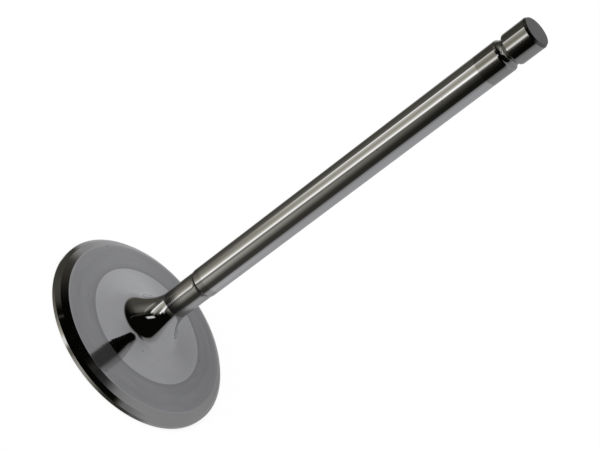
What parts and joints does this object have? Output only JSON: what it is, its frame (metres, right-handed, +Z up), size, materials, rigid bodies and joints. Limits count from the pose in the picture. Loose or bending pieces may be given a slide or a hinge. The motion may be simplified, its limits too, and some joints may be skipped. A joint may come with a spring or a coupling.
{
  "type": "engine valve",
  "caption": "Poppet valve with a wide nail-shaped head, a slim ground stem and a rounded keeper groove near its tip.",
  "frame": {"origin": "centre of the combustion face, which is the surface the valve stands on", "axes": "+Z up the stem's axis towards the tip; the valve is round about it, so +X and +Y are any two square directions"},
  "size_m": [0.0546, 0.0546, 0.1346],
  "materials": {
    "valve_steel": "polished head back with fine turning lines, ground seat, hard chromed stem"
  },
  "bodies": {
    "root": {"valve": "valve_steel"}
  },
  "joints": []
}
